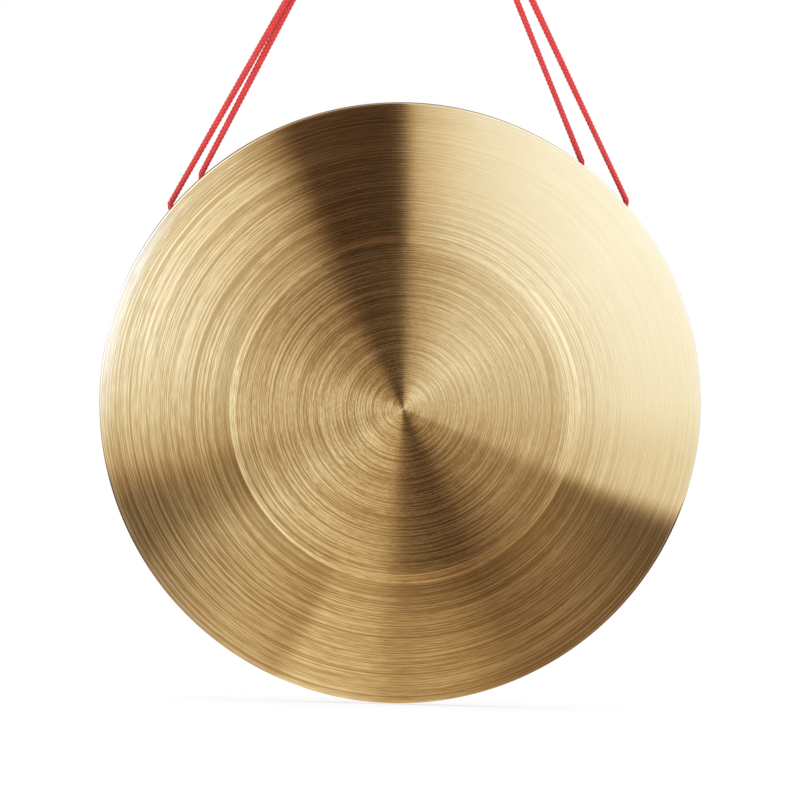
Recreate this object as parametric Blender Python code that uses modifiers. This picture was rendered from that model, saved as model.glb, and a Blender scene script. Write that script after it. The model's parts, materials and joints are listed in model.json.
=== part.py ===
# Hand gong: a spun brass plate laced on a red cord, which gathers in a knot under a hanging loop.
# Metres, +Z up. The origin is the inside top of the loop, where a hook holds it. The face looks
# along -Y, and left and right are as seen from the front.

import math

import bmesh
import bpy
import numpy as np
from mathutils import Matrix, Vector

# Brass plate. Depths are measured back from the flat centre.
PLATE_RADIUS = 0.1500
SHEET = 0.0015
CENTRE_RADIUS = 0.0837
STEP_WIDTH = 0.0036
STEP_DROP = 0.0006
FACE_SLOPE = math.radians(3.0)
EDGE_RADIUS = 0.0025
RIM_DEPTH = 0.0250
RIM_TAPER = math.radians(2.8)
PLATE_SEGMENTS = 96
EDGE_SEGMENTS = 6

# Red cord
CORD_DIAMETER = 0.0030
BEND_DIAMETERS = 2.0
GAP = 0.0003
SWING_GAP = 0.0008
KNOT_ABOVE_PLATE = 0.3224
KNOT_RADIUS = 0.0085
KNOT_SEGMENTS = 20
NECK_LENGTH = 0.0090
STRAND_POINTS = 6
LACING_POINTS = 15
LOOP_POINTS = 15
TAIL_POINTS = 6

# Cord holes in the rim, as angles above the horizontal
HOLE_ANGLE = {
    "left_outer": math.radians(38.4),
    "left_inner": math.radians(46.7),
    "right_inner": math.radians(54.5),
    "right_outer": math.radians(43.3),
}
HOLE_DEPTH = 0.0125
HOLE_CLEARANCE = 0.0015
HOLE_LEAN = math.radians(25.0)

# Where each strand's line meets the knot's level, to the right and to the back, in cord diameters
KNOT_PLACE = {
    "left_outer": (0.40, -1.05),
    "left_inner": (-0.40, 1.05),
    "right_inner": (0.05, -0.60),
    "right_outer": (-0.05, 0.60),
}

# Half of the hanging loop, down from the middle of its cord at the top
LOOP_ROUTE = [
    (0.0000, 0.0000),
    (0.0035, -0.0009),
    (0.0061, -0.0035),
    (0.0070, -0.0070),
    (0.0066, -0.0098),
    (0.0052, -0.0142),
    (0.0038, -0.0186),
    (0.0025, -0.0226),
]
LOOP_LENGTH = 0.0270
LOOP_END = 0.0020

# The two cord ends, from the middle of the knot
TAIL_ROUTES = {
    "tail_front": [
        (-0.0010, -0.0059, 0.0069),
        (-0.0013, -0.0100, 0.0087),
        (-0.0016, -0.0143, 0.0069),
        (-0.0018, -0.0161, 0.0026),
        (-0.0019, -0.0162, -0.0026),
        (-0.0019, -0.0161, -0.0072),
    ],
    "tail_back": [
        (0.0010, 0.0059, 0.0069),
        (0.0014, 0.0100, 0.0087),
        (0.0018, 0.0143, 0.0068),
        (0.0021, 0.0161, 0.0024),
        (0.0022, 0.0162, -0.0040),
        (0.0021, 0.0160, -0.0104),
    ],
}

CORD_RADIUS = CORD_DIAMETER / 2
BEND_RADIUS = BEND_DIAMETERS * CORD_DIAMETER
HOLE_RADIUS = CORD_RADIUS + HOLE_CLEARANCE
NECK_OFFSET = (CORD_DIAMETER + GAP) / 2
SIDES = {"left": -1, "right": 1}


def face_line():
    """The plate's outer surface from its middle to the rim's back edge, as (radius, depth) points."""
    step_end = (CENTRE_RADIUS + STEP_WIDTH, STEP_DROP)
    centre_r = PLATE_RADIUS - EDGE_RADIUS
    tangent_r = centre_r + EDGE_RADIUS * math.sin(FACE_SLOPE)
    cone_drop = (tangent_r - step_end[0]) * math.tan(FACE_SLOPE)
    centre_w = step_end[1] + cone_drop + EDGE_RADIUS * math.cos(FACE_SLOPE)
    line = [(0.0, 0.0), (CENTRE_RADIUS, 0.0), step_end]
    for angle in np.linspace(FACE_SLOPE, math.pi / 2 + RIM_TAPER, EDGE_SEGMENTS + 1):
        line.append((centre_r + EDGE_RADIUS * math.sin(angle), centre_w - EDGE_RADIUS * math.cos(angle)))
    last_r, last_w = line[-1]
    line.append((last_r - (RIM_DEPTH - last_w) * math.tan(RIM_TAPER), RIM_DEPTH))
    return np.array(line)


def inner_line(line):
    """The same line moved inwards by the sheet's thickness, with its back edge left flat."""
    along = np.diff(line, axis=0)
    along /= np.linalg.norm(along, axis=1)[:, None]
    inward = np.stack([-along[:, 1], along[:, 0]], axis=1)
    both = inward[:-1] + inward[1:]
    mitre = both / (1 + (inward[:-1] * inward[1:]).sum(axis=1))[:, None]
    inner = line.copy()
    inner[0, 1] += SHEET
    inner[1:-1] += SHEET * mitre
    inner[-1, 0] -= SHEET / math.cos(RIM_TAPER)
    return inner


def plate_profile():
    """One closed run round the sheet's section, down the outside first."""
    outer = face_line()
    return np.vstack([outer, inner_line(outer)[::-1]])


def balance_depth(profile):
    """The depth of the turned sheet's centre of mass."""
    r, w = profile.T
    next_r, next_w = np.roll(r, -1), np.roll(w, -1)
    cross = r * next_w - next_r * w
    area_moment = (cross * (r + next_r)).sum() / 6
    depth_moment = (cross * (2 * r * w + r * next_w + next_r * w + 2 * next_r * next_w)).sum() / 24
    return depth_moment / area_moment


def rim_radius(depth):
    """The rim's outer radius at this depth."""
    first, last = face_line()[-2:]
    share = (depth - first[1]) / (last[1] - first[1])
    return first[0] + share * (last[0] - first[0])


HOLE_RING = rim_radius(HOLE_DEPTH)


def hole_place(name):
    """A hole's place on the plate: to the right and up from the middle."""
    angle = HOLE_ANGLE[name]
    side = SIDES[name.split("_")[0]]
    return np.array([side * math.cos(angle), math.sin(angle)]) * HOLE_RING


# The plate tilts about the line through the middles of the two pairs of holes, and hangs with its
# centre of mass below that line.
LEFT_PAIR = (hole_place("left_outer") + hole_place("left_inner")) / 2
RIGHT_PAIR = (hole_place("right_outer") + hole_place("right_inner")) / 2
PAIR_SLOPE = (RIGHT_PAIR[1] - LEFT_PAIR[1]) / (RIGHT_PAIR[0] - LEFT_PAIR[0])
AXIS_HEIGHT = LEFT_PAIR[1] - LEFT_PAIR[0] * PAIR_SLOPE
LEAN = math.atan((HOLE_DEPTH - balance_depth(plate_profile())) / AXIS_HEIGHT)

THROAT = Vector((0, 0, CORD_RADIUS - LOOP_LENGTH))
KNOT = THROAT - Vector((0, 0, 2 * GAP + NECK_LENGTH + KNOT_RADIUS))
PLATE_TURN = Matrix.Rotation(math.pi / 2 + LEAN, 4, "X")
TILT_AXIS_ON_PLATE = Vector((0, AXIS_HEIGHT, -HOLE_DEPTH))
TILT_POINT = Vector((0, 0, KNOT.z - KNOT_ABOVE_PLATE + (PLATE_TURN @ TILT_AXIS_ON_PLATE).z))
PLATE_PLACE = Matrix.Translation(TILT_POINT - PLATE_TURN @ TILT_AXIS_ON_PLATE) @ PLATE_TURN


def on_plate(right, up, depth):
    """A place on the plate in the object's own space."""
    return PLATE_PLACE @ Vector((right, up, -depth))


def clear_scene():
    for obj in list(bpy.data.objects):
        bpy.data.objects.remove(obj)


def new_collection(name):
    collection = bpy.data.collections.new(name)
    bpy.context.scene.collection.children.link(collection)
    return collection


def new_material(name, colour, metallic, roughness):
    material = bpy.data.materials.new(name)
    material.use_nodes = True
    shader = material.node_tree.nodes["Principled BSDF"]
    shader.inputs["Base Color"].default_value = (*colour, 1)
    shader.inputs["Metallic"].default_value = metallic
    shader.inputs["Roughness"].default_value = roughness
    material.diffuse_color = (*colour, 1)
    return material


def place_under(obj, pivot, place):
    """Parent obj to pivot, with its own place given in the object's space."""
    obj.parent = pivot
    obj.matrix_local = pivot_matrix(pivot).inverted() @ place


def pivot_matrix(pivot):
    matrix = Matrix.Identity(4)
    while pivot is not None:
        matrix = pivot.matrix_basis @ matrix
        pivot = pivot.parent
    return matrix


def new_pivot(name, parent, point, collection):
    """An empty on a joint's axis, which carries the pieces that turn there."""
    pivot = bpy.data.objects.new(name, None)
    pivot.empty_display_size = 0.01
    collection.objects.link(pivot)
    place_under(pivot, parent, Matrix.Translation(point))
    return pivot


def bake(obj, sharp_angle=math.radians(35)):
    """Make obj's modifiers, or its curve's tube, into its mesh, shaded smooth."""
    evaluated = obj.evaluated_get(bpy.context.evaluated_depsgraph_get())
    mesh = bpy.data.meshes.new_from_object(evaluated)
    mesh.name = obj.name
    mesh.shade_smooth()
    mesh.set_sharp_from_angle(angle=sharp_angle)
    obj.modifiers.clear()
    obj.data = mesh


def hole_cutter(name, collection, plate):
    """A peg through the rim, wider than the cord by its clearance all round."""
    radial = Vector((*hole_place(name), 0)).normalized()
    mesh = bpy.data.meshes.new("cutter_" + name)
    shape = bmesh.new()
    bmesh.ops.create_cone(
        shape,
        cap_ends=True,
        segments=24,
        radius1=HOLE_RADIUS,
        radius2=HOLE_RADIUS,
        depth=8 * SHEET,
    )
    shape.to_mesh(mesh)
    shape.free()
    cutter = bpy.data.objects.new("cutter_" + name, mesh)
    collection.objects.link(cutter)
    cutter.hide_render = True
    cutter.display_type = "WIRE"
    middle = Vector((*hole_place(name), -HOLE_DEPTH)) - radial * SHEET / 2
    cutter.parent = plate
    cutter.matrix_local = Matrix.Translation(middle) @ radial.to_track_quat("Z", "Y").to_matrix().to_4x4()
    return cutter


def make_plate(collection, cutters, pivot, material):
    """The turned sheet, with its four cord holes."""
    points = [(r, 0, -w) for r, w in plate_profile()]
    mesh = bpy.data.meshes.new("gong_plate")
    mesh.from_pydata(points, [(i, i + 1) for i in range(len(points) - 1)], [])
    plate = bpy.data.objects.new("gong_plate", mesh)
    collection.objects.link(plate)
    place_under(plate, pivot, PLATE_PLACE)
    turn = plate.modifiers.new("turn", "SCREW")
    turn.steps = turn.render_steps = PLATE_SEGMENTS
    turn.use_merge_vertices = True
    turn.merge_threshold = 0.00005
    for name in HOLE_ANGLE:
        cut = plate.modifiers.new("hole_" + name, "BOOLEAN")
        cut.operation = "DIFFERENCE"
        cut.object = hole_cutter(name, cutters, plate)
    bake(plate)
    plate.data.materials.clear()
    plate.data.materials.append(material)
    return plate


def smooth_route(points, count):
    """That many even points along a Catmull-Rom curve through the given ones."""
    points = np.array(points, float)
    first, last = 2 * points[0] - points[1], 2 * points[-1] - points[-2]
    padded = np.vstack([first, points, last])
    share = np.linspace(0, 1, 24, endpoint=False)[:, None]
    runs = []
    for before, start, end, after in zip(padded, padded[1:], padded[2:], padded[3:]):
        bend = 2 * before - 5 * start + 4 * end - after
        twist = 3 * start - before - 3 * end + after
        runs.append(start + ((end - before) * share + bend * share**2 + twist * share**3) / 2)
    fine = np.vstack([*runs, points[-1:]])
    along = np.concatenate([[0], np.linalg.norm(np.diff(fine, axis=0), axis=1).cumsum()])
    even = np.linspace(0, along[-1], count)
    return np.stack([np.interp(even, along, axis) for axis in fine.T], axis=1)


def make_cord(name, points, collection, pivot, material):
    """A cord along points in the object's space, with its origin on the pivot."""
    curve = bpy.data.curves.new(name, "CURVE")
    curve.dimensions = "3D"
    curve.bevel_depth = CORD_RADIUS
    curve.bevel_resolution = 2
    curve.use_fill_caps = True
    spline = curve.splines.new("POLY")
    spline.points.add(len(points) - 1)
    origin = pivot_matrix(pivot).translation
    for point, place in zip(spline.points, points):
        point.co = (*(Vector(place) - origin), 1)
    curve.materials.append(material)
    cord = bpy.data.objects.new(name, curve)
    collection.objects.link(cord)
    cord.parent = pivot
    return cord


def lead_angle(name):
    """How far the strand's line turns from straight out of its hole, towards the other hole."""
    side = SIDES[name.split("_")[0]]
    angle = HOLE_ANGLE[name]
    outward = np.array([side * math.cos(angle), math.sin(angle)])
    along = np.array([-side * math.sin(angle), math.cos(angle)])
    up = (PLATE_PLACE.inverted() @ KNOT).y
    line = np.array([KNOT_PLACE[name][0] * CORD_DIAMETER, up]) - hole_place(name)
    return math.atan2(line @ along, line @ outward)


def lacing_route(side_name):
    """The cord's way through a pair of holes, from outside the outer one to outside the inner one.

    It is worked out along the rim and out from it, and both bends have the cord's bend radius.
    """
    outer, inner = side_name + "_outer", side_name + "_inner"
    span = (HOLE_ANGLE[inner] - HOLE_ANGLE[outer]) * HOLE_RING
    wall = -SHEET / 2
    lean = BEND_RADIUS * np.array([math.cos(HOLE_LEAN), math.sin(HOLE_LEAN)])
    back = math.atan2(2 * lean[1], span - 2 * lean[0])
    route = []
    for turn in np.linspace(lead_angle(outer), -math.pi / 2 - back, 9):
        route.append((lean[0] - BEND_RADIUS * math.cos(turn), wall - lean[1] + BEND_RADIUS * math.sin(turn)))
    for turn in np.linspace(math.pi / 2 - back, HOLE_LEAN, 3):
        route.append((span - lean[0] + BEND_RADIUS * math.cos(turn), wall + lean[1] - BEND_RADIUS * math.sin(turn)))
    for turn in np.linspace(HOLE_LEAN, lead_angle(inner), 4)[1:]:
        route.append((span + lean[0] - BEND_RADIUS * math.cos(turn), wall - lean[1] + BEND_RADIUS * math.sin(turn)))
    places = []
    for along, out in route:
        angle = HOLE_ANGLE[outer] + along / HOLE_RING
        radius = HOLE_RING + out
        places.append(on_plate(SIDES[side_name] * radius * math.cos(angle), radius * math.sin(angle), HOLE_DEPTH))
    return places


def strand_ends(name, start):
    """A strand's two ends: clear of the lacing's end below it, and of the round knot above."""
    across, back = KNOT_PLACE[name]
    target = KNOT + Vector((across, back, 0)) * CORD_DIAMETER
    direction = (target - start).normalized()
    reach = (KNOT - start).dot(direction)
    aside = (KNOT - start - direction * reach).length
    short = math.sqrt((KNOT_RADIUS + GAP) ** 2 - max(0, aside - CORD_RADIUS) ** 2)
    return start + direction * SWING_GAP, start + direction * (reach - short)


def straight(start, end, count):
    return [start.lerp(end, i / (count - 1)) for i in range(count)]


def make_knot(collection, pivot, material):
    mesh = bpy.data.meshes.new("cord_knot")
    shape = bmesh.new()
    bmesh.ops.create_uvsphere(
        shape,
        u_segments=KNOT_SEGMENTS,
        v_segments=KNOT_SEGMENTS // 2,
        radius=KNOT_RADIUS,
    )
    shape.to_mesh(mesh)
    shape.free()
    mesh.shade_smooth()
    mesh.materials.append(material)
    knot = bpy.data.objects.new("cord_knot", mesh)
    collection.objects.link(knot)
    knot.parent = pivot
    return knot


def loop_points():
    """The hanging loop from its left end in the throat, over the top, to its right end."""
    end = [(NECK_OFFSET, LOOP_END - LOOP_LENGTH), (NECK_OFFSET, -LOOP_LENGTH)]
    right = [Vector((x, 0, CORD_RADIUS + z)) for x, z in LOOP_ROUTE + end]
    left = [Vector((-p.x, 0, p.z)) for p in right[:0:-1]]
    return smooth_route([*left, *right], LOOP_POINTS)


def main():
    clear_scene()
    parts = new_collection("hand_gong")
    cutters = new_collection("cutters")
    brass = new_material("brushed_brass", (0.72, 0.55, 0.27), 1.0, 0.34)
    fabric = new_material("red_braid", (0.76, 0.05, 0.06), 0.0, 0.72)

    hook = new_pivot("hook_point", None, Vector(), parts)
    twist = new_pivot("twist_pivot", hook, THROAT, parts)
    sway = new_pivot("sway_pivot", twist, KNOT, parts)
    swing = new_pivot("swing_pivot", sway, KNOT, parts)
    tilt = new_pivot("tilt_pivot", swing, TILT_POINT, parts)

    make_plate(parts, cutters, tilt, brass)
    for side in SIDES:
        lacing = lacing_route(side)
        make_cord("lacing_" + side, smooth_route(lacing, LACING_POINTS), parts, tilt, fabric)
        for hole, start in (("outer", lacing[0]), ("inner", lacing[-1])):
            name = side + "_" + hole
            run = straight(*strand_ends(name, start), STRAND_POINTS)
            make_cord("strand_" + name, run, parts, swing, fabric)
    make_knot(parts, sway, fabric)
    for name, route in TAIL_ROUTES.items():
        places = [KNOT + Vector(place) for place in route]
        make_cord("cord_" + name, smooth_route(places, TAIL_POINTS), parts, sway, fabric)
    for side, sign in SIDES.items():
        top = THROAT + Vector((sign * NECK_OFFSET, 0, -GAP))
        make_cord("neck_" + side, [top, top - Vector((0, 0, NECK_LENGTH))], parts, twist, fabric)
    make_cord("hanging_loop", loop_points(), parts, hook, fabric)


main()
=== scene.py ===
import json
import math

import bmesh
import bpy
import numpy as np
from mathutils import Matrix, Vector


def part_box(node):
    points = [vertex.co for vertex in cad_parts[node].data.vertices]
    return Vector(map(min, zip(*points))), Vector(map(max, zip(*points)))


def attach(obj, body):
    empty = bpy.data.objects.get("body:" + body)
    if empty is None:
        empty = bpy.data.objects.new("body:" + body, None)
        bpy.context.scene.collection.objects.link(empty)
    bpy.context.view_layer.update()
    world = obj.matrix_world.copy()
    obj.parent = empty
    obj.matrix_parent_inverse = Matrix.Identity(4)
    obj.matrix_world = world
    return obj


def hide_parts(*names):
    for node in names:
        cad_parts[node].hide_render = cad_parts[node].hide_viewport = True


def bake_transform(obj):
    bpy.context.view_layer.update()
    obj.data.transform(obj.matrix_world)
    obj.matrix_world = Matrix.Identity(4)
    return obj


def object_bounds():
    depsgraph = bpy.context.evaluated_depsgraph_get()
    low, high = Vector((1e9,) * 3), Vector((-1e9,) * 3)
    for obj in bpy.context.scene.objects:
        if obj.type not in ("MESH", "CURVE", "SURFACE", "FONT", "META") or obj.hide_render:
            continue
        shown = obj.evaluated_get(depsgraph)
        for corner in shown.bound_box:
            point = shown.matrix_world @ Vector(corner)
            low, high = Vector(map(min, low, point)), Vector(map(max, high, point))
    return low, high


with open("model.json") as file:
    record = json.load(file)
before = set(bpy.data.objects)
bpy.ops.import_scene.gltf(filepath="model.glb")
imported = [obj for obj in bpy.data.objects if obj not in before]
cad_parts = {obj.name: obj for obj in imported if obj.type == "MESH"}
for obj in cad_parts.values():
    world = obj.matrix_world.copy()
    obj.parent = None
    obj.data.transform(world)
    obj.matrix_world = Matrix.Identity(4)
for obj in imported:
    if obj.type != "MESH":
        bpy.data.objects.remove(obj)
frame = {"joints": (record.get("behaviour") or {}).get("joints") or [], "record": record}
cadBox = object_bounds()
print("frame loaded")

# Places that the frame gives
joints = {joint["name"]: joint for joint in frame["joints"]}
mounts = {mount["name"]: mount for mount in frame["record"]["mounts"]}
throat = np.array(joints["twist"]["pos_m"], float)
knotCentre = np.array(joints["swing"]["pos_m"], float)
plateCentre = np.array(mounts["strike_face"]["pos_m"], float)
outward = np.array(mounts["strike_face"]["axis"], float)
across = np.array([1.0, 0.0, 0.0])
upward = np.cross(outward, across)
plateLow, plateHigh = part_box("gong_plate")

plate = {
    "radius": (plateHigh.x - plateLow.x) / 2,
    "sheet": 0.0015,
    "poleRadius": 0.0006,  # the small hole at the middle of the grid, closed by a fan
    "centreRadius": 0.0827,
    "stepWidth": 0.0045,
    "stepDrop": 0.00054,
    "stepEase": 0.10,  # share of the step's width over which its slope comes and goes
    "faceSlope": math.radians(3.0),
    "slopeGrows": math.radians(0.7),  # less than the mean slope at the step, more at the edge
    "edgeRadius": 0.0012,
    "rimDepth": 0.0250,
    "rimTaper": math.radians(0.3),
    "lipRadius": 0.0004,
    "turningShift": (0.0015, -0.0022),  # the turned centre sits a little off the outline's centre
    "shiftFades": (0.096, 0.142),
    "rows": (12, 21, 36, 19),  # of the flat centre, the step, the cone and the bend
    "turns": 384,
    "sharpAngle": math.radians(40),
}

cord = {
    "diameter": 0.0030,
    "bend": 0.0054,
    "holeAngle": {"left_outer": 38.6, "left_inner": 46.85, "right_inner": 54.3, "right_outer": 42.8},
    "holeDepth": 0.0125,
    "holeRadius": 0.0030,
    "holeSides": 40,
    "holeLean": math.radians(25.0),
    "knotPlace": {  # where each strand aims beside the knot's middle, in cord diameters
        "left_outer": (1.07, -1.05),
        "left_inner": (0.10, 1.05),
        "right_inner": (0.15, -0.60),
        "right_outer": (0.15, 0.60),
    },
    "gatherBelow": 0.016,
    "gatherPlace": 0.00155,
    "gatherHeights": (-0.0050, -0.0030, -0.0012),
    "cutHeight": -0.110,  # a strand is cut here into a lower and an upper piece
    "bendFrom": (0, 0, -0.0450),
    "bendTo": (0, 0, -0.0700),
    "holeBend": (60, 2),  # steps above its hole
    "neckOffset": 0.00165,
    "loopLength": 0.0270,
    "braidPitch": 0.0088,
    "yarns": 8,
    "yarnWidth": 0.00150,
    "yarnThickness": 0.00068,
    "yarnMiddle": 0.00102,
    "yarnWave": 0.00016,
    "yarnSides": 6,
    "coreRadius": 0.00085,
    "stepsPerPitch": 24,
    "swellHeight": (-0.250, -0.225, -0.205, -0.165, -0.110),  # the photo's strands are looser in places
    "swell": {
        "left_outer": (1.03, 1.10, 1.16, 1.15, 1.00),
        "left_inner": (1.03, 1.10, 1.16, 1.15, 1.00),
        "right_inner": (1.06, 1.01, 1.00, 1.08, 1.00),
        "right_outer": (0.98, 0.98, 1.05, 1.16, 1.00),
    },
}
braidStep = cord["braidPitch"] / cord["stepsPerPitch"]
sideSign = {"left": -1, "right": 1}


def onPlate(right, up, depth):  # a place on the plate: right and up from its middle, back by depth
    right, up, depth = (np.asarray(value, float)[..., None] for value in (right, up, depth))
    return plateCentre + right * across + up * upward - depth * outward


def smoothRamp(value, low, high):  # 3t^2 - 2t^3 of the share from low to high
    share = np.clip((value - low) / (high - low), 0, 1)
    return share * share * (3 - 2 * share)


def lengthAlong(points):  # the running sum of the distances between points
    return np.concatenate([[0], np.linalg.norm(np.diff(points, axis=0), axis=1).cumsum()])


def unit(rows):  # each row divided by its length
    return rows / np.linalg.norm(rows, axis=1)[:, None]


def newMesh(name, points, faces):
    mesh = bpy.data.meshes.new(name)
    mesh.from_pydata(np.asarray(points).reshape(-1, 3).tolist(), [], faces)
    mesh.shade_smooth()
    made = bpy.data.objects.new(name, mesh)
    bpy.context.scene.collection.objects.link(made)
    return made


def gridFaces(rows, columns, offset=0):  # quads between the rows of a grid whose columns close round
    index = np.arange(rows * columns).reshape(rows, columns) + offset
    after = np.roll(index, -1, axis=1)
    quads = np.stack([index[:-1], after[:-1], after[1:], index[1:]], axis=-1)
    return quads.reshape(-1, 4).tolist()


def tubeFaces(rows, columns, offset=0):  # the same grid with both ends closed
    first = list(range(offset, offset + columns))
    last = list(range(offset + (rows - 1) * columns, offset + rows * columns))
    return gridFaces(rows, columns, offset) + [first[::-1], last]


def fixNormals(piece):  # faces outwards, whichever way the tubes were wound
    shape = bmesh.new()
    shape.from_mesh(piece.data)
    bmesh.ops.recalc_face_normals(shape, faces=shape.faces)
    shape.to_mesh(piece.data)
    shape.free()


# Camera: a long lens, level with the plate and a little to its left, turned by the cord's lean
camera = {
    "lens": 400.0,
    "sensor": 36.0,
    "viewWidth": 0.3986,
    "rise": math.radians(-0.5),
    "aside": math.radians(-1.2),
    "roll": math.radians(1.59),
    "aim": (-0.00024, 0.00222),
    "clipEnd": 50,
}
toCamera = np.array([
    math.sin(camera["aside"]) * math.cos(camera["rise"]),
    -math.cos(camera["aside"]) * math.cos(camera["rise"]),
    math.sin(camera["rise"]),
])


def makeCamera():  # distance = view width x lens / sensor
    data = bpy.data.cameras.new("camera")
    data.lens = camera["lens"]
    data.sensor_width = camera["sensor"]
    data.clip_end = camera["clipEnd"]
    made = bpy.data.objects.new("camera", data)
    bpy.context.scene.collection.objects.link(made)
    distance = camera["viewWidth"] * camera["lens"] / camera["sensor"]
    target = Vector(plateCentre) + Vector((camera["aim"][0], 0, camera["aim"][1]))
    turn = Vector(-toCamera).to_track_quat("-Z", "Y").to_matrix() @ Matrix.Rotation(camera["roll"], 3, "Z")
    made.matrix_world = Matrix.Translation(target + Vector(toCamera) * distance) @ turn.to_4x4()
    bpy.context.scene.camera = made


makeCamera()
print("camera placed")


# Shader maths: an output socket on which Python's operators add Math nodes
class Wire:
    def __init__(self, tree, node, output=0):
        self.tree = tree
        self.node = node
        self.socket = node.outputs[output]

    def output(self, name):
        return Wire(self.tree, self.node, name)

    def maths(self, operation, *values):
        return addNode(self.tree, "ShaderNodeMath", {"operation": operation}, dict(enumerate(values)))

    def __add__(self, other):
        return self.maths("ADD", self, other)

    def __radd__(self, other):
        return self.maths("ADD", other, self)

    def __sub__(self, other):
        return self.maths("SUBTRACT", self, other)

    def __rsub__(self, other):
        return self.maths("SUBTRACT", other, self)

    def __mul__(self, other):
        return self.maths("MULTIPLY", self, other)

    def __rmul__(self, other):
        return self.maths("MULTIPLY", other, self)

    def __truediv__(self, other):
        return self.maths("DIVIDE", self, other)


def addNode(tree, kind, settings=None, inputs=None, output=0):
    node = tree.nodes.new(kind)
    for name, value in (settings or {}).items():
        setattr(node, name, value)
    for key, value in (inputs or {}).items():
        if isinstance(value, Wire):
            tree.links.new(value.socket, node.inputs[key])
        else:
            node.inputs[key].default_value = value
    return Wire(tree, node, output)


def softStep(value, low, high):  # 0 below low, 1 above high, smooth between
    settings = {"interpolation_type": "SMOOTHSTEP"}
    return addNode(value.tree, "ShaderNodeMapRange", settings, {"Value": value, "From Min": low, "From Max": high})


def mixColour(factor, low, high):
    inputs = {0: factor, 6: low, 7: high}
    return addNode(factor.tree, "ShaderNodeMix", {"data_type": "RGBA"}, inputs, output=2)


def noise(tree, vector, scale, detail, roughness=0.5):
    inputs = {"Vector": vector, "Scale": scale, "Detail": detail, "Roughness": roughness}
    return addNode(tree, "ShaderNodeTexNoise", None, inputs)


def vectorOf(tree, x, y, z):
    return addNode(tree, "ShaderNodeCombineXYZ", None, {0: x, 1: y, 2: z})


def newMaterial(name):
    material = bpy.data.materials.new(name)
    material.use_nodes = True
    material.node_tree.nodes.clear()
    return material, material.node_tree


def finishMaterial(tree, shader):
    surface = tree.nodes.new("ShaderNodeOutputMaterial")
    tree.links.new(shader.socket, surface.inputs["Surface"])


# Cord routes. Each runs on one smooth line, and the pieces are cut from that line.
def smoothLine(points):  # Catmull-Rom through the points, read at even steps of its length
    points = np.asarray(points, float)
    padded = np.vstack([2 * points[0] - points[1], points, 2 * points[-1] - points[-2]])
    share = np.linspace(0, 1, 40, endpoint=False)[:, None]
    runs = []
    for before, start, end, after in zip(padded, padded[1:], padded[2:], padded[3:]):
        bend = 2 * before - 5 * start + 4 * end - after
        twist = 3 * start - before - 3 * end + after
        runs.append(start + ((end - before) * share + bend * share**2 + twist * share**3) / 2)
    fine = np.vstack([*runs, points[-1:]])
    along = lengthAlong(fine)
    even = np.linspace(0, along[-1], max(2, round(along[-1] / braidStep) + 1))
    return np.stack([np.interp(even, along, axis) for axis in fine.T], axis=1)


def nearest(line, place):  # the row of the line that is closest to a place
    return int(np.argmin(np.linalg.norm(line - place, axis=1)))


def holeOnRim(name):  # right and up from the plate's middle, on the rim's outer wall
    angle = math.radians(cord["holeAngle"][name])
    return sideSign[name.split("_")[0]] * math.cos(angle) * rimAtHoles, math.sin(angle) * rimAtHoles


def leadAngle(name):  # how far the strand turns from straight out of its hole, towards the other hole
    angle = math.radians(cord["holeAngle"][name])
    side = sideSign[name.split("_")[0]]
    away = np.array([side * math.cos(angle), math.sin(angle)])
    along = np.array([-side * math.sin(angle), math.cos(angle)])
    above = (knotCentre - plateCentre) @ upward
    line = np.array([cord["knotPlace"][name][0] * cord["diameter"], above]) - holeOnRim(name)
    return math.atan2(line @ along, line @ away)


# In through the outer hole, along inside the rim, out of the inner hole: three arcs of the bend's radius,
# worked out as distance along the rim and distance out from it, then wrapped round the plate
def lacingRoute(side):
    outer, inner = side + "_outer", side + "_inner"
    first = math.radians(cord["holeAngle"][outer])
    span = (math.radians(cord["holeAngle"][inner]) - first) * rimAtHoles
    wall = -plate["sheet"] / 2
    bend, hole = cord["bend"], cord["holeLean"]
    lean = bend * np.array([math.cos(hole), math.sin(hole)])
    back = math.atan2(2 * lean[1], span - 2 * lean[0])
    turns = np.linspace(leadAngle(outer), -math.pi / 2 - back, 9)
    goIn = np.stack([lean[0] - bend * np.cos(turns), wall - lean[1] + bend * np.sin(turns)], axis=1)
    turns = np.linspace(math.pi / 2 - back, hole, 3)
    rise = np.stack([span - lean[0] + bend * np.cos(turns), wall + lean[1] - bend * np.sin(turns)], axis=1)
    turns = np.linspace(hole, leadAngle(inner), 4)[1:]
    goOut = np.stack([span + lean[0] - bend * np.cos(turns), wall - lean[1] + bend * np.sin(turns)], axis=1)
    route = np.vstack([goIn, rise, goOut])
    angle = first + route[:, 0] / rimAtHoles
    radius = rimAtHoles + route[:, 1]
    return onPlate(sideSign[side] * radius * np.cos(angle), radius * np.sin(angle), cord["holeDepth"])


def strandRoute(name, start):  # straight from its hole towards the knot, then in to its place in the bundle
    place, packing = cord["knotPlace"][name], cord["gatherPlace"]
    line = knotCentre + np.array([*place, 0]) * cord["diameter"] - start
    share = 1 - cord["gatherBelow"] / line[2]
    straight = [start + line * part for part in np.linspace(0, share, 12)]
    packed = knotCentre + [math.copysign(packing, start[0]), math.copysign(packing, place[1]), 0]
    return np.array(straight + [packed + [0, 0, height] for height in cord["gatherHeights"]])


def frameAlong(line, aside):  # tangent, aside made square to it, and the third direction
    tangent = unit(np.gradient(line, axis=0))
    normal = unit(aside - (tangent @ aside)[:, None] * tangent)
    return tangent, normal, np.cross(tangent, normal)


def tubeRows(centre, wide, deep, sides):  # rings of an ellipse: centre + wide cos + deep sin
    turn = np.linspace(0, 2 * math.pi, sides, endpoint=False)[None, :, None]
    return centre[:, None] + wide[:, None] * np.cos(turn) + deep[:, None] * np.sin(turn)


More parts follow.
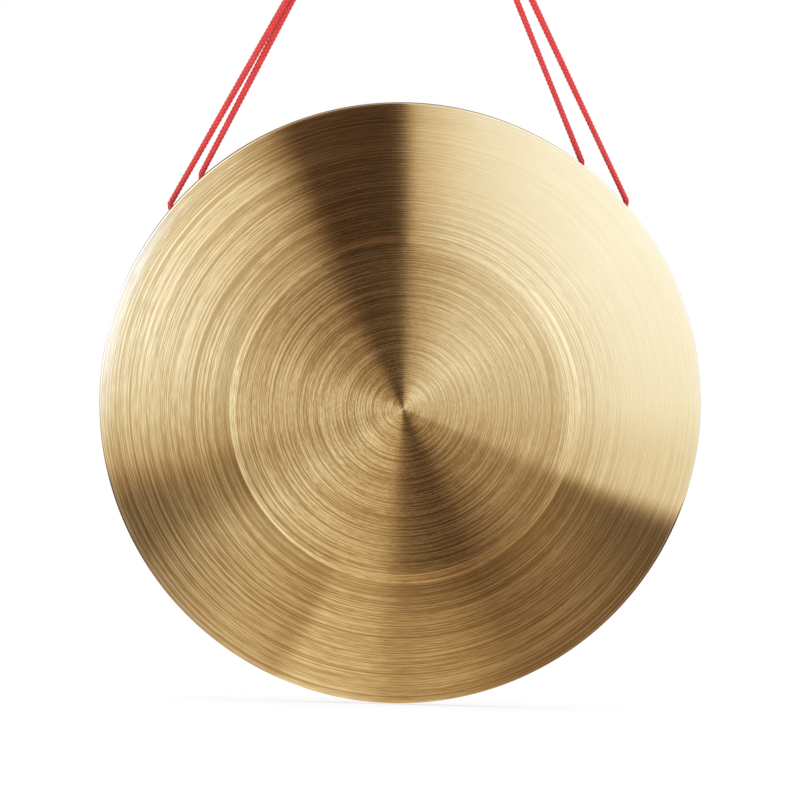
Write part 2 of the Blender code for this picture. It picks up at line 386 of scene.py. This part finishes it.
# A round braid over a core. Half of the yarns wind each way:
# yarn k lies at angle (+ or -) 2 pi s / pitch + its place, at radius middle (+ or -) wave cos(yarns pi s / pitch)
def makeBraid(name, line, first, last, aside, swell=1.0):
    pitch, yarns, sides = cord["braidPitch"], cord["yarns"], cord["yarnSides"]
    core, outside = cord["coreRadius"], cord["diameter"] / 2
    along = lengthAlong(line)
    tangent, side, front = frameAlong(line, np.asarray(aside, float))
    swell = np.broadcast_to(swell, along.shape)[:, None]
    tubes = []
    for yarn in range(yarns):
        hand = 1 if yarn % 2 else -1
        angle = hand * 2 * math.pi * along / pitch + (yarn // 2) * 4 * math.pi / yarns
        wave = hand * np.cos(yarns * math.pi * along / pitch)
        away = np.cos(angle)[:, None] * side + np.sin(angle)[:, None] * front
        centre = line + away * swell * (cord["yarnMiddle"] + cord["yarnWave"] * wave)[:, None]
        run = unit(np.gradient(centre, axis=0))
        wide = unit(np.cross(run, away))
        deep = np.cross(wide, run)
        rows = tubeRows(centre, wide * swell * cord["yarnWidth"] / 2, deep * swell * cord["yarnThickness"] / 2, sides)
        reach = np.linalg.norm(rows - line[:, None], axis=2) / swell
        tubes.append((rows, np.clip((reach - core) / (outside - core), 0, 1)))
    rows = tubeRows(line, side * swell * core, front * swell * core, sides)
    tubes.append((rows, np.zeros(rows.shape[:2])))

    keep, count = slice(first, last + 1), last + 1 - first
    faces = []
    for number in range(len(tubes)):
        faces += tubeFaces(count, sides, number * count * sides)
    piece = newMesh(name, np.vstack([rows[keep].reshape(-1, 3) for rows, height in tubes]), faces)
    fixNormals(piece)
    # the braid material paints shade between the yarns from this height
    layer = piece.data.attributes.new("braidHeight", "FLOAT", "POINT")  # 0 at the core, 1 on the outside
    heights = np.concatenate([height[keep].ravel() for rows, height in tubes])
    layer.data.foreach_set("value", heights.astype(np.float32))
    piece.data.materials.append(braidMaterial)
    return piece


braid = {
    # dark is both the painted shade between the yarns and the darker tone
    "dark": (0.42, 0.004, 0.006, 1),
    "bright": (1.00, 0.092, 0.086, 1),
    "toneScale": 260.0,
    "fibreScale": 5200.0,
    "gaps": (0.64, 0.95),  # heights between which the yarns come out of the painted shade
}
melted = {"dark": (0.22, 0.010, 0.010, 1), "bright": (0.48, 0.020, 0.022, 1), "toneScale": 900.0}


def makeBraidMaterial():  # painted shade between the yarns, with a slow change of tone and fine fibres
    material, tree = newMaterial("red_braid")
    place = addNode(tree, "ShaderNodeTexCoord", output="Object")
    height = addNode(tree, "ShaderNodeAttribute", {"attribute_name": "braidHeight"}, output="Fac")
    tone = noise(tree, place, braid["toneScale"], 3.0)
    fibre = noise(tree, place, braid["fibreScale"], 2.0)
    # painted shade: the yarns darken where they sink between each other; tone and fibres vary at random
    shade = softStep(height, *braid["gaps"]) * 0.75 + tone * 0.60 + fibre * 0.45 - 0.39
    colour = mixColour(shade, braid["dark"], braid["bright"])
    bump = addNode(tree, "ShaderNodeBump", None, {"Strength": 0.5, "Distance": 0.0001, "Height": fibre})
    inputs = {"Base Color": colour, "Roughness": 0.55 + tone * 0.2, "Normal": bump}
    inputs.update({"Sheen Weight": 0.25, "Sheen Roughness": 0.4, "Specular IOR Level": 0.35})
    finishMaterial(tree, addNode(tree, "ShaderNodeBsdfPrincipled", None, inputs))
    return material


def makeMeltedMaterial():  # dark red, glossier than the braid and a little lumpy
    material, tree = newMaterial("melted_red")
    place = addNode(tree, "ShaderNodeTexCoord", output="Object")
    tone = noise(tree, place, melted["toneScale"], 3.0)
    colour = mixColour(tone, melted["dark"], melted["bright"])
    bump = addNode(tree, "ShaderNodeBump", None, {"Strength": 0.4, "Distance": 0.0001, "Height": tone})
    inputs = {"Base Color": colour, "Roughness": 0.28 + tone * 0.2, "Normal": bump}
    finishMaterial(tree, addNode(tree, "ShaderNodeBsdfPrincipled", None, inputs))
    return material


# The plate's outer line, as radius and depth: flat centre, step, shallow cone, bend, rim
def plateLine():
    middle = plate["radius"] - plate["edgeRadius"]
    slope, bend, taper = plate["faceSlope"], plate["edgeRadius"], plate["rimTaper"]
    stepEnd = plate["centreRadius"] + plate["stepWidth"]
    coneEnd = middle + bend * math.sin(slope)
    flatRows, stepRows, coneRows, bendRows = plate["rows"]
    radius = np.concatenate([
        np.linspace(plate["poleRadius"], plate["centreRadius"], flatRows),
        np.linspace(plate["centreRadius"], stepEnd, stepRows)[1:],
        np.linspace(stepEnd, coneEnd, coneRows)[1:],
    ])
    depth = faceDepth(radius)
    turn = np.linspace(slope, math.pi / 2 + taper, bendRows)[1:]
    bendDepth = faceDepth(np.array([coneEnd]))[0] + bend * math.cos(slope)
    radius = np.concatenate([radius, middle + bend * np.sin(turn)])
    depth = np.concatenate([depth, bendDepth - bend * np.cos(turn)])
    lastRadius = radius[-1] - (plate["rimDepth"] - depth[-1]) * math.tan(taper)
    return np.vstack([np.stack([radius, depth], axis=1), [lastRadius, plate["rimDepth"]]])


# Depth behind the flat centre: the step's drop by an even ramp with eased ends, then slope times distance
# less a shallow arch. The slope comes in over the step's outer half.
def faceDepth(radius):
    start, ease = plate["centreRadius"], plate["stepEase"]
    stepEnd = start + plate["stepWidth"]
    share = np.clip((radius - start) / plate["stepWidth"], 0, 1)
    early, late = np.minimum(share, ease), np.maximum(share - 1 + ease, 0)
    even = np.clip(share - ease, 0, 1 - 2 * ease)
    ramp = (early * early / (2 * ease) + even + late - late * late / (2 * ease)) / (1 - ease)
    half = plate["stepWidth"] / 2
    out = np.maximum(0, radius - stepEnd + half)
    out = np.where(out < half, out * out / (2 * half), out - half / 2)
    width = plate["radius"] - plate["edgeRadius"] - stepEnd
    depth = plate["stepDrop"] * ramp + out * math.tan(plate["faceSlope"])
    return depth - math.tan(plate["slopeGrows"]) * out * (1 - np.minimum(out / width, 1))


def rimRadiusAt(depth):  # the rim's outer wall, straight from the bend to the back edge
    wall = plateLine()[-2:]
    share = (depth - wall[0, 1]) / (wall[1, 1] - wall[0, 1])
    return wall[0, 0] + share * (wall[1, 0] - wall[0, 0])


def plateSection():  # round the whole sheet: outer line, rounded back lip, then the line moved in by the sheet
    outer = plateLine()
    run = unit(np.gradient(outer, axis=0))
    inner = outer + np.stack([-run[:, 1], run[:, 0]], axis=1) * plate["sheet"]
    inner[:, 0] = np.maximum(inner[:, 0], outer[0, 0] * 0.5)
    inner[-1, 1] = plate["rimDepth"]
    lip = plate["lipRadius"]
    outer[-1, 1] -= lip
    inner[-1, 1] -= lip
    turn = np.radians([30.0, 60.0, 90.0])
    rise = plate["rimDepth"] - lip + lip * np.sin(turn)
    outerLip = np.stack([outer[-1, 0] - lip * (1 - np.cos(turn)), rise], axis=1)
    innerLip = np.stack([inner[-1, 0] + lip * (1 - np.cos(turn)), rise], axis=1)[::-1]
    return np.vstack([outer, outerLip, innerLip, inner[::-1]])


def makePlate():  # the section turned about the plate's axis, whose middle moves by the turning shift
    section = plateSection()
    rows, turns = len(section), plate["turns"]
    angle = np.linspace(0, 2 * math.pi, turns, endpoint=False)
    radius, depth = section[:, :1], section[:, 1:]
    fade = 1 - smoothRamp(radius, *plate["shiftFades"])
    right = radius * np.cos(angle) + plate["turningShift"][0] * fade
    up = radius * np.sin(angle) + plate["turningShift"][1] * fade
    points = onPlate(right, up, np.broadcast_to(depth, right.shape)).reshape(-1, 3)
    middles = [onPlate(*plate["turningShift"], section[row, 1]) for row in (0, -1)]
    ring = np.arange(turns)
    after = np.roll(ring, -1)
    last = (rows - 1) * turns
    faces = gridFaces(rows, turns)
    faces += np.stack([np.full(turns, rows * turns), after, ring], axis=1).tolist()
    faces += np.stack([np.full(turns, rows * turns + 1), last + ring, last + after], axis=1).tolist()
    piece = newMesh("brass_plate", np.vstack([points, middles]), faces)
    addTurningMap(piece, section, turns)
    cutHoles(piece)
    piece.data.set_sharp_from_angle(angle=plate["sharpAngle"])
    piece.data.materials.append(makeBrass(section))
    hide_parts("gong_plate")
    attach(piece, "gong")


def addTurningMap(piece, section, turns):  # u is the length along the section, v the share of a turn
    length = lengthAlong(section) + section[0, 0]
    count = len(section) * turns
    corner = np.empty(len(piece.data.loops), np.int32)
    piece.data.loops.foreach_get("vertex_index", corner)
    totals = np.empty(len(piece.data.polygons), np.int32)
    piece.data.polygons.foreach_get("loop_total", totals)
    face = np.repeat(np.arange(len(totals)), totals)
    ringed = corner < count  # all but the two middles
    u = np.where(ringed, length[np.minimum(corner // turns, len(section) - 1)], 0)
    u = np.where(corner == count + 1, length[-1] + section[-1, 0], u)
    v = np.where(ringed, (corner % turns) / turns, 0.0)
    highest = np.zeros(len(totals))
    np.maximum.at(highest, face, v)
    v = np.where(ringed & (v == 0) & (highest[face] > 0.5), 1.0, v)  # the last faces end at a whole turn
    v = np.where(ringed, v, highest[face] - 0.5 / turns)
    layer = piece.data.uv_layers.new(name="turning")
    layer.data.foreach_set("uv", np.stack([u, v], axis=1).astype(np.float32).ravel())


def cutHoles(piece):  # four round punches through the rim, square to it
    shape = bmesh.new()
    for name in cord["holeAngle"]:
        right, up = holeOnRim(name)
        radial = Vector(onPlate(right, up, 0) - plateCentre).normalized()
        middle = Vector(onPlate(right, up, cord["holeDepth"])) - radial * plate["sheet"] / 2
        place = Matrix.Translation(middle) @ radial.to_track_quat("Z", "Y").to_matrix().to_4x4()
        size = {"radius1": cord["holeRadius"], "radius2": cord["holeRadius"], "depth": 8 * plate["sheet"]}
        bmesh.ops.create_cone(shape, cap_ends=True, segments=cord["holeSides"], matrix=place, **size)
    mesh = bpy.data.meshes.new("holes")
    shape.to_mesh(mesh)
    shape.free()
    cutter = bpy.data.objects.new("holes", mesh)
    bpy.context.scene.collection.objects.link(cutter)
    cut = piece.modifiers.new("holes", "BOOLEAN")
    cut.object = cutter
    graph = bpy.context.evaluated_depsgraph_get()
    cutMesh = bpy.data.meshes.new_from_object(piece.evaluated_get(graph))
    piece.modifiers.clear()
    piece.data = cutMesh
    bpy.data.objects.remove(cutter)


brass = {
    "dark": (0.56, 0.345, 0.125, 1),
    "bright": (0.98, 0.74, 0.370, 1),
    "darkRings": (0.52, 0.33, 0.12, 1),
    "edge": (1.0, 0.90, 0.70, 1),
    "edgeFrom": (0.1415, 0.1490),  # radii between which the rounded edge pales, from wear and a painted highlight
    "edgeWearAndHighlight": (0.06, 0.26),  # how much wear everywhere, and how much painted highlight more at the left
    "darkBandRadii": (0.0870, 0.0880, 0.0935, 0.0955),  # radii outside the step
    "bandStrength": 0.25,
    "darkLines": ((0.0880, 0.30), (0.0908, 0.30), (0.0939, 0.45)),  # radius and strength of each thin dark ring
    "lineWidth": (0.0002, 0.0011),
    "toneSpan": (0.39, 0.61),
    "rimWallDark": (0.13, 0.078, 0.038, 1),
    "rimWallPale": (0.27, 0.175, 0.085, 1),
    "rimWallDepth": (0.0049, 0.0053),  # behind the face, on the rim's outer wall
    "insideDark": (0.42, 0.28, 0.12, 1),
    "insideBright": (0.66, 0.48, 0.22, 1),
    "crown": 1667,  # the flat centre is mirrored as if crowned by 1 degree
}


# Spun brass, brushed in circles. u runs out along the section and v round it. The tone is a sum of streaks,
# long along the turn and fine across it, and the mirror's stretch follows the turning map.
def makeBrass(section):
    material, tree = newMaterial("brushed_brass")
    turning = addNode(tree, "ShaderNodeUVMap", {"uv_map": "turning"})
    parts = addNode(tree, "ShaderNodeSeparateXYZ", None, {0: turning})
    out, turn = parts, parts.output(1) * (2 * math.pi)
    east, north = turn.maths("COSINE", turn), turn.maths("SINE", turn)
    place = addNode(tree, "ShaderNodeTexCoord", output="Object")

    def streaks(reach, fineness, detail):
        where = vectorOf(tree, east * reach, north * reach, out * fineness)
        return noise(tree, where, 1.0, detail, 0.6)

    fine = streaks(1.0, 1750.0, 1.0)
    grain = streaks(14.0, 1900.0, 1.0)
    medium = streaks(0.8, 820.0, 1.0)
    broad = streaks(0.6, 230.0, 1.0)
    scratch = softStep(streaks(0.5, 1500.0, 0.0), 0.64, 0.76)
    cloud = noise(tree, place, 22.0, 3.0)

    # Where the rim's outer wall and the back of the sheet begin, as lengths along the section
    length = lengthAlong(section) + section[0, 0]
    backEdge = int(np.argmax(section[:, 1]))
    wall = slice(int(np.argmax(section[:, 0])) - 12, backEdge)
    rimFrom, rimTo = np.interp(brass["rimWallDepth"], section[wall, 1], length[wall]) + 0.0004
    rim = softStep(out + cloud * 0.001, float(rimFrom), float(rimTo))
    frontEnd = float(length[backEdge])
    back = softStep(out, frontEnd, frontEnd + 0.001)

    # a darker band and thin dark rings just outside the step
    bandFrom, bandFull, bandFades, bandEnd = brass["darkBandRadii"]
    darkRings = softStep(out, bandFrom, bandFull) * (1 - softStep(out, bandFades, bandEnd)) * brass["bandStrength"]
    for radius, strength in brass["darkLines"]:
        away = out - radius
        darkRings = darkRings + (1 - softStep(away.maths("ABSOLUTE", away), *brass["lineWidth"])) * strength
    highlightCalm = softStep(east * 0.82 + north * 0.57, 0.1, 0.9) * (1 - back)  # painted highlight: the streaks and dark rings fade at the upper right, where the light is brightest

    streak = fine * 0.62 + grain * 0.28 + medium * 0.07 + broad * 0.03 - scratch * 0.12
    tone = softStep(streak + cloud * 0.03 - 0.012, *brass["toneSpan"])
    # painted highlight: the tone is also evened outside the step at the left, where a highlight falls near the edge
    even = softStep(north * 0.2 - east * 0.97, 0.5, 0.95) * softStep(out, 0.088, 0.110) * 0.2
    even = even + highlightCalm * (softStep(out, 0.080, 0.120) * 0.45 + 0.45)
    tone = tone + (0.5 - tone) * even
    leastWorn, leftHighlight = brass["edgeWearAndHighlight"]
    wearAndHighlight = softStep(north * 0.30 - east * 0.95, 0.88, 0.99) * leftHighlight + leastWorn
    polished = mixColour(tone, brass["dark"], brass["bright"])
    polished = mixColour((1 - highlightCalm) * darkRings, polished, brass["darkRings"])
    # the rounded edge pales: a little wear all round, and a painted highlight at the left
    polished = mixColour(softStep(out, *brass["edgeFrom"]) * wearAndHighlight, polished, brass["edge"])
    # the rim's outer wall is a dull dark brown
    dull = mixColour(cloud * 0.8 + fine * 0.5 - 0.15, brass["rimWallDark"], brass["rimWallPale"])
    inside = mixColour(tone, brass["insideDark"], brass["insideBright"])
    colour = mixColour(back, mixColour(rim, polished, dull), inside)

    roughness = 0.07 + fine * 0.02 + medium * 0.01 + rim * 0.16 + back * 0.12
    crown = out.maths("MINIMUM", out, plate["centreRadius"]) * brass["crown"]
    height = fine * 0.8 + medium * 0.2 - crown * (1 - back)
    bump = addNode(tree, "ShaderNodeBump", None, {"Strength": 0.6, "Distance": 0.00002, "Height": height})
    tangent = addNode(tree, "ShaderNodeTangent", {"direction_type": "UV_MAP", "uv_map": "turning"})
    inputs = {"Base Color": colour, "Metallic": 1 - rim * (1 - back) * 0.75, "Roughness": roughness, "Normal": bump}
    inputs.update({"Anisotropic": 1.0, "Tangent": tangent, "Specular IOR Level": 0.0})
    finishMaterial(tree, addNode(tree, "ShaderNodeBsdfPrincipled", None, inputs))
    return material


rimAtHoles = rimRadiusAt(cord["holeDepth"])
braidMaterial = makeBraidMaterial()
meltedMaterial = makeMeltedMaterial()


def declareCord(path):
    float(lengthAlong(path)[-1])


# Each side's cord: up strand, lacing through the two holes, up strand. Each strand is cut in two at the cut height.
def makeSide(side, withPieces):
    lacing = lacingRoute(side)
    outer, inner = side + "_outer", side + "_inner"
    down = strandRoute(outer, lacing[0])[::-1]
    up = strandRoute(inner, lacing[-1])
    line = smoothLine(np.vstack([down[:-1], lacing, up[1:]]))
    first, last = nearest(line, lacing[0]), nearest(line, lacing[-1])
    fromCut = np.abs(line[:, 2] - cord["cutHeight"])
    outerCut, innerCut = int(np.argmin(fromCut[:first])), last + int(np.argmin(fromCut[last:]))
    for name, hole, cut, top in ((outer, first, outerCut, 0), (inner, last, innerCut, len(line) - 1)):
        swell = np.interp(line[:, 2], cord["swellHeight"], cord["swell"][name])
        low, high = sorted((hole, cut))
        piece = makeBraid("strand_cord_" + name, line, low, high, outward, swell)
        path = line[low:high + 1][:: 1 if hole < cut else -1]
        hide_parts("strand_" + name)
        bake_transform(piece)
        declareCord(path)
        low, high = sorted((cut, top))
        piece = makeBraid("strand_top_" + name, line, low, high, outward, swell)
        path = line[low:high + 1][:: 1 if cut < top else -1]
        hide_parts("strand_" + name)
        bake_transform(piece)
        declareCord(path)
    piece = makeBraid("lacing_cord_" + side, line, first, last, outward)
    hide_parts("lacing_" + side)
    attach(piece, "gong")
    declareCord(line[first:last + 1])


# Wrapped knot round the bundle of strands, its two ends, and the neck and loop above it
knot = {
    "turns": 4.3,
    "startAngle": 0.6,
    "turnRadius": 0.0051,
    "barrel": 0.0004,
    "halfHeight": 0.0047,
    "tuckRadius": 0.0032,
    "tuckShare": 0.05,
}
tails = {
    "front": [(0.0002, -0.0002, 0.0006), (-0.0006, -0.0022, 0.0040), (-0.0009, -0.0043, 0.0069),
              (-0.0013, -0.0098, 0.0086), (-0.0016, -0.0143, 0.0066), (-0.0018, -0.0161, 0.0026),
              (-0.0019, -0.0162, -0.0026), (-0.0019, -0.0161, -0.0068)],
    "back": [(-0.0002, 0.0002, 0.0006), (0.0006, 0.0022, 0.0040), (0.0009, 0.0043, 0.0069),
             (0.0014, 0.0100, 0.0086), (0.0018, 0.0143, 0.0066), (0.0021, 0.0161, 0.0024),
             (0.0022, 0.0162, -0.0040), (0.0021, 0.0160, -0.0098)],
}
tip = {
    "length": (-0.0022, -0.0020, -0.0012, -0.0002, 0.0005, 0.0009, 0.0011, 0.00115),
    "radius": (0.0012, 0.00158, 0.00166, 0.00162, 0.00140, 0.00100, 0.00055, 0.0001),
    "sides": 20,
    "lumps": 0.04,
}
loop = {
    "right": [(0.0000, 0.0000), (0.0035, -0.0009), (0.0061, -0.0035), (0.0070, -0.0070), (0.0066, -0.0098),
              (0.0052, -0.0142), (0.0038, -0.0186), (0.0025, -0.0226)],
    "inKnot": 0.0015,
    "bendAbove": 0.015,  # a height above the loop's throat
    "bendGap": 0.0008,
}


def makeKnot():  # a helix: radius swells by the barrel in the middle and draws in at both tucked ends
    share = np.linspace(0, 1, 120)
    angle = 2 * math.pi * knot["turns"] * share + knot["startAngle"]
    ends = 1 - smoothRamp(np.minimum(share, 1 - share), 0.0, knot["tuckShare"])
    radius = knot["turnRadius"] + knot["barrel"] * np.sin(math.pi * share)
    radius = radius - (knot["turnRadius"] - knot["tuckRadius"]) * ends
    height = (2 * share - 1) * knot["halfHeight"] * (1 - 0.25 * ends)
    line = smoothLine(knotCentre + np.stack([radius * np.cos(angle), radius * np.sin(angle), height], axis=1))
    piece = makeBraid("knot_wrap", line, 0, len(line) - 1, (0, 0, 1))
    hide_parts("cord_knot")
    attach(piece, "knot")
    return piece


def makeTail(name):
    line = smoothLine(knotCentre + np.array(tails[name]))
    piece = makeBraid("tail_cord_" + name, line, 0, len(line) - 1, (1, 0, 0))
    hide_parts("cord_tail_" + name)
    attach(piece, "knot")
    end = makeTip("tail_tip_" + name, line[-1], line[-1] - line[-6])
    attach(end, "knot")
    declareCord(line)


# The melted end of a cord: a profile of radius against length, turned about the cord's line, with low lumps
def makeTip(name, end, direction):
    direction = direction / np.linalg.norm(direction)
    side = np.cross(direction, [1.0, 0.2, 0.0])
    side /= np.linalg.norm(side)
    other = np.cross(direction, side)
    length, radius, sides = np.array(tip["length"]), np.array(tip["radius"])[:, None], tip["sides"]
    centre = end + direction * length[:, None]
    rows = tubeRows(centre, side * radius, other * radius, sides)
    lumps = 1 + tip["lumps"] * np.sin(np.arange(sides) * 2.4)[None, :, None] * np.sin(length * 2600)[:, None, None]
    rows = centre[:, None] + (rows - centre[:, None]) * lumps
    piece = newMesh(name, rows, tubeFaces(len(rows), sides))
    fixNormals(piece)
    piece.data.materials.append(meltedMaterial)
    return piece


def makeLoop():  # up the left of the neck, round the loop and down the right, cut at the throat
    offset, top = cord["neckOffset"], cord["diameter"] / 2
    half = np.array([(x, 0, top + z) for x, z in loop["right"]] + [(offset, 0, top - cord["loopLength"] + 0.002)])
    below = np.array([(offset, 0, z) for z in (throat[2], throat[2] - 0.006, knotCentre[2] + loop["inKnot"])])
    right = np.vstack([half, below])
    left = right[:0:-1] * [-1, 1, 1]
    line = smoothLine(np.vstack([left, right]))
    middle = len(line) // 2
    first = int(np.argmin(np.abs(line[:middle, 2] - throat[2])))
    last = middle + int(np.argmin(np.abs(line[middle:, 2] - throat[2])))
    for side, start, end in (("left", 0, first), ("right", last, len(line) - 1)):
        piece = makeBraid("neck_cord_" + side, line, start, end, (0, 1, 0))
        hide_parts("neck_" + side)
        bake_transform(piece)
    piece = makeBraid("loop_cord", line, first, last, (0, 1, 0))
    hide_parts("hanging_loop")
    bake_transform(piece)
    declareCord(line[first:last + 1])


makeSide("left", {"left_outer": [makeKnot()]})
makeSide("right", {})
makeTail("front")
makeTail("back")
makeLoop()
print("cords made")

makePlate()
print("plate made")


# Studio: a plain white surround, a pale floor, and one large panel before the face.
# The panel is the wall of soft lights and dark cards that the brushed face mirrors. Its brightness is
# given round its middle, counter-clockwise in degrees from the right. Reach is the angle out from the middle.
studio = {
    "floorGap": 0.0006,
    "floorSize": 3.0,
    "floorColour": (0.80, 0.80, 0.80, 1),
    "floorShade": (0.30, 0.30, 0.30, 1),  # the camera sees this much of the shadow, on top of the glow
    "floorGlow": (0.74, 0.74, 0.74, 1),
    "panelRadius": 4.0,
    "panelWidth": math.radians(125),
    "panelGrid": (24, 96),
    "turn": 1.6,  # the camera's roll, which the panel shares
    "nearReach": (0.090, 0.150),
    "outerReach": (0.150, 0.205),
    "farReach": (0.240, 0.275),
    "edgeReach": (0.42, 0.60),
    "brightest": 2.0,
    "lights": [  # angle, level near the middle, level further out, level far out, warmth
        (0, 0.74, 1.17, 1.02, 0), (12, 0.78, 1.23, 1.02, 0), (35, 0.96, 1.27, 1.09, 0),
        (60, 0.83, 1.17, 0.96, 0), (75, 0.57, 1.1, 0.76, 0.05), (85, 0.45, 0.87, 0.61, 0.2),
        (87.5, 0.27, 0.72, 0.59, 0.25), (89, 0.07, 0.055, 0.16, 0), (112, 0.065, 0.072, 0.14, 0),
        (118, 0.16, 0.4, 0.27, 0), (125, 0.33, 0.69, 0.53, 0.3), (140, 0.37, 0.93, 0.66, 0.3),
        (165, 0.74, 0.91, 1.02, 0.1), (182, 0.7, 0.85, 1, 0), (190, 0.73, 0.65, 0.91, 0),
        (197, 0.57, 0.4, 0.77, 0), (202, 0.7, 0.29, 0.86, 0), (208, 0.72, 0.33, 0.77, 0),
        (216, 0.82, 0.76, 0.9, 0), (230, 0.74, 0.64, 0.93, 0.1), (245, 0.73, 0.4, 0.8, 0.33),
        (249, 0.61, 0.8, 0.77, 0.33), (262, 0.62, 0.68, 0.75, 0.35), (270, 0.13, 0.44, 0.5, 0.35),
        (285, 0.05, 0.32, 0.27, 0.4), (294, 0.06, 0.215, 0.22, 0.2), (301, 0.22, 0.23, 0.33, 0),
        (318, 0.39, 0.37, 0.49, 0), (334.5, 0.42, 0.2, 0.61, 0), (338.5, 0.7, 0.94, 0.91, 0.05),
        (348, 0.68, 0.98, 0.97, 0.05), (360, 0.74, 1.17, 1.02, 0),
    ],
    "outer": [  # angle, and what the level further out is multiplied by over the outer reach
        (0, 1.08), (30, 1.09), (60, 1.16), (85, 1.06), (95, 1), (112, 2), (140, 1.42), (152, 1.56),
        (168, 1.58), (184, 1.21), (192, 1.16), (200, 0.16), (210, 0.1), (218, 0.26), (240, 1.35),
        (252, 1.05), (268, 1.25), (278, 2), (292, 1.92), (304, 1.12), (318, 0.37), (334, 0.12), (339, 1.1),
        (360, 1.08),
    ],
}


def makeFloor():  # the camera sees it white but for the object's shadow
    size, height = studio["floorSize"], cadBox[0].z - studio["floorGap"]
    points = [(-size, -size, height), (size, -size, height), (size, size, height), (-size, size, height)]
    floor = newMesh("floor", points, [[0, 1, 2, 3]])
    material, tree = newMaterial("pale_floor")
    seen = addNode(tree, "ShaderNodeLightPath")
    lit = addNode(tree, "ShaderNodeBsdfDiffuse", None, {"Color": studio["floorColour"]})
    faint = addNode(tree, "ShaderNodeBsdfDiffuse", None, {"Color": studio["floorShade"]})
    glow = addNode(tree, "ShaderNodeEmission", None, {"Color": studio["floorGlow"], "Strength": 1.0})
    white = addNode(tree, "ShaderNodeAddShader", None, {0: faint, 1: glow})
    finishMaterial(tree, addNode(tree, "ShaderNodeMixShader", None, {0: seen, 1: lit, 2: white}))
    floor.data.materials.append(material)
    floor.visible_glossy = False  # the face mirrors the panel, not the floor


def makeWorld():  # white, but mirrors see it bright above and below and dim at both sides
    world = bpy.data.worlds.new("surround")
    bpy.context.scene.world = world
    world.use_nodes = True
    tree = world.node_tree
    place = addNode(tree, "ShaderNodeTexCoord", output="Generated")
    parts = addNode(tree, "ShaderNodeSeparateXYZ", None, {0: place})
    side, high = parts * parts, parts.output(2) * parts.output(2)
    level = 0.72 + (high - side) / (high + side + 0.03) * 0.28
    mirrored = addNode(tree, "ShaderNodeLightPath", output="Is Glossy Ray")
    colour = mixColour(mirrored, (1, 1, 1, 1), vectorOf(tree, level, level * 0.97, level * 0.92))
    tree.links.new(colour.socket, tree.nodes["Background"].inputs["Color"])
    tree.nodes["Background"].inputs["Strength"].default_value = 1.0


def turnRamp(tree, share, stops):  # a colour for each angle of a whole turn
    ramp = addNode(tree, "ShaderNodeValToRGB", None, {0: share})
    elements = ramp.node.color_ramp.elements
    elements[0].position, elements[1].position = 0, 1
    for angle, colour in stops:
        stop = elements[0] if angle == 0 else elements[-1] if angle == 360 else elements.new(angle / 360)
        stop.color = colour
    return ramp


def makePanel():  # a bowl round the plate's middle: angle out from the mirror direction, angle round it
    rows, columns = studio["panelGrid"]
    out = np.linspace(0.01, studio["panelWidth"], rows)[:, None]
    turn = np.linspace(0, 2 * math.pi, columns, endpoint=False)
    level = np.broadcast_to(np.cos(out), (rows, columns))
    points = studio["panelRadius"] * np.stack([np.sin(out) * np.cos(turn), np.sin(out) * np.sin(turn), level], axis=2)
    panel = newMesh("light_panel", points, gridFaces(rows, columns) + [list(range(columns))])
    pole = Vector(2 * (outward @ toCamera) * outward - toCamera)  # where the leaning face mirrors the camera
    right = (Vector(across) - pole * pole.x).normalized()
    turned = Matrix((right, pole.cross(right), pole)).transposed().to_4x4()
    panel.matrix_world = Matrix.Translation(Vector(plateCentre)) @ turned

    material, tree = newMaterial("panel_light")
    place = addNode(tree, "ShaderNodeTexCoord", output="Object")
    parts = addNode(tree, "ShaderNodeSeparateXYZ", None, {0: place})
    share = parts.maths("ARCTAN2", parts.output(1), parts) / (2 * math.pi) - studio["turn"] / 360 + 2
    share = share.maths("FRACT", share)
    forward = parts.output(2) / studio["panelRadius"]
    reach = forward.maths("ARCCOSINE", forward)
    full = studio["brightest"]  # a ramp's colours stay under 1, so they hold shares of this
    lights = [(angle, (near / full, middle / full, far / full, warmth))
              for angle, near, middle, far, warmth in studio["lights"]]
    ramp = turnRamp(tree, share, lights)
    levels = addNode(tree, "ShaderNodeSeparateColor", None, {0: ramp})
    near, middle, far = levels, levels.output(1), levels.output(2)
    outer = turnRamp(tree, share, [(angle, (change / full,) * 3 + (1,)) for angle, change in studio["outer"]])
    change = addNode(tree, "ShaderNodeSeparateColor", None, {0: outer}) * full
    level = near + (middle - near) * softStep(reach, *studio["nearReach"])
    level = level + level * (change - 1) * softStep(reach, *studio["outerReach"])
    level = level + (far - level) * softStep(reach, *studio["farReach"])
    edge = middle * change * 0.95 + 0.04
    level = (level + (edge - level) * softStep(reach, *studio["edgeReach"])) * full
    warm = ramp.output("Alpha")
    green = level * (level * 0.50 + 0.62) * (1 - warm * 0.18)
    blue = level * (level * level * 0.84 + 0.52) * (1 - warm * 0.50)
    mirrored = addNode(tree, "ShaderNodeLightPath", output="Is Glossy Ray")
    colour = mixColour(mirrored, (1, 1, 1, 1), vectorOf(tree, level, green, blue))  # all but mirrors see plain white
    finishMaterial(tree, addNode(tree, "ShaderNodeEmission", None, {"Color": colour, "Strength": 1.0}))
    material.cycles.emission_sampling = "NONE"
    panel.data.materials.append(material)
    panel.visible_camera = False


makeFloor()
makeWorld()
makePanel()
bpy.context.scene.view_settings.view_transform = "Standard"
print("studio made")
